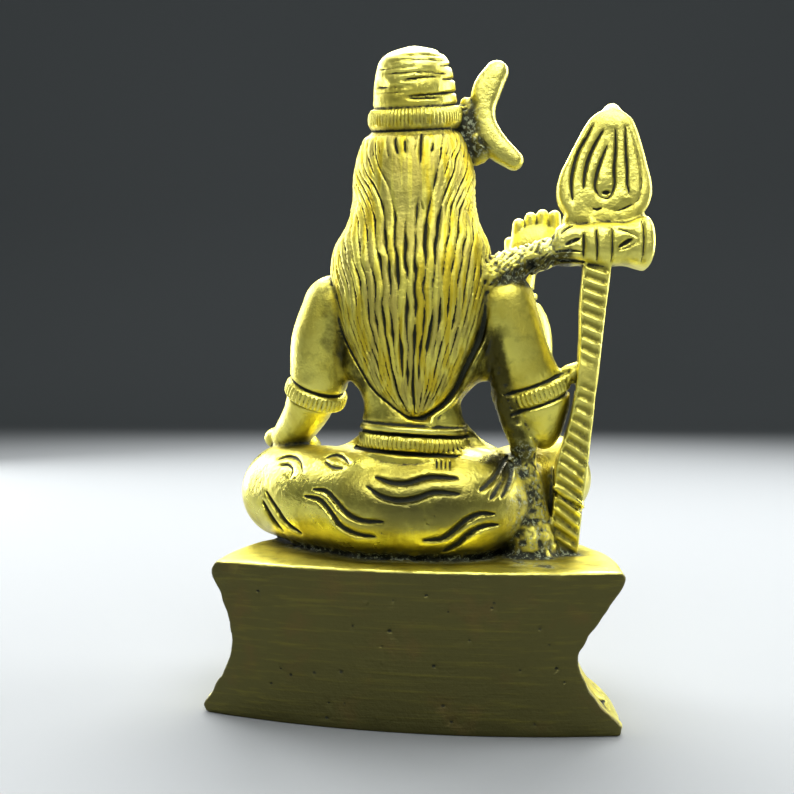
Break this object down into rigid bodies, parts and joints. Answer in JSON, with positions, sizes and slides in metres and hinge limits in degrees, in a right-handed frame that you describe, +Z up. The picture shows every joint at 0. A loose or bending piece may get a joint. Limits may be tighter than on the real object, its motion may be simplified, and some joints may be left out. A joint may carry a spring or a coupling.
{
  "type": "shiva figure",
  "caption": "Small solid cast brass figure of Shiva seated cross-legged on a waisted plinth, with a twisted-shaft trident, a small drum and a crescent moon, made as one piece.",
  "frame": {"origin": "centre of the plinth's flat underside", "axes": "+Z up, the figure faces -Y, its right hand and the trident are towards -X, and the plinth's filed back is towards +Y"},
  "size_m": [0.0666, 0.034, 0.1004],
  "materials": {
    "brass": "worn cast brass, dark in the recesses, with a filed matt back on the plinth"
  },
  "bodies": {
    "root": {"shiva_figure": "brass"}
  },
  "joints": []
}
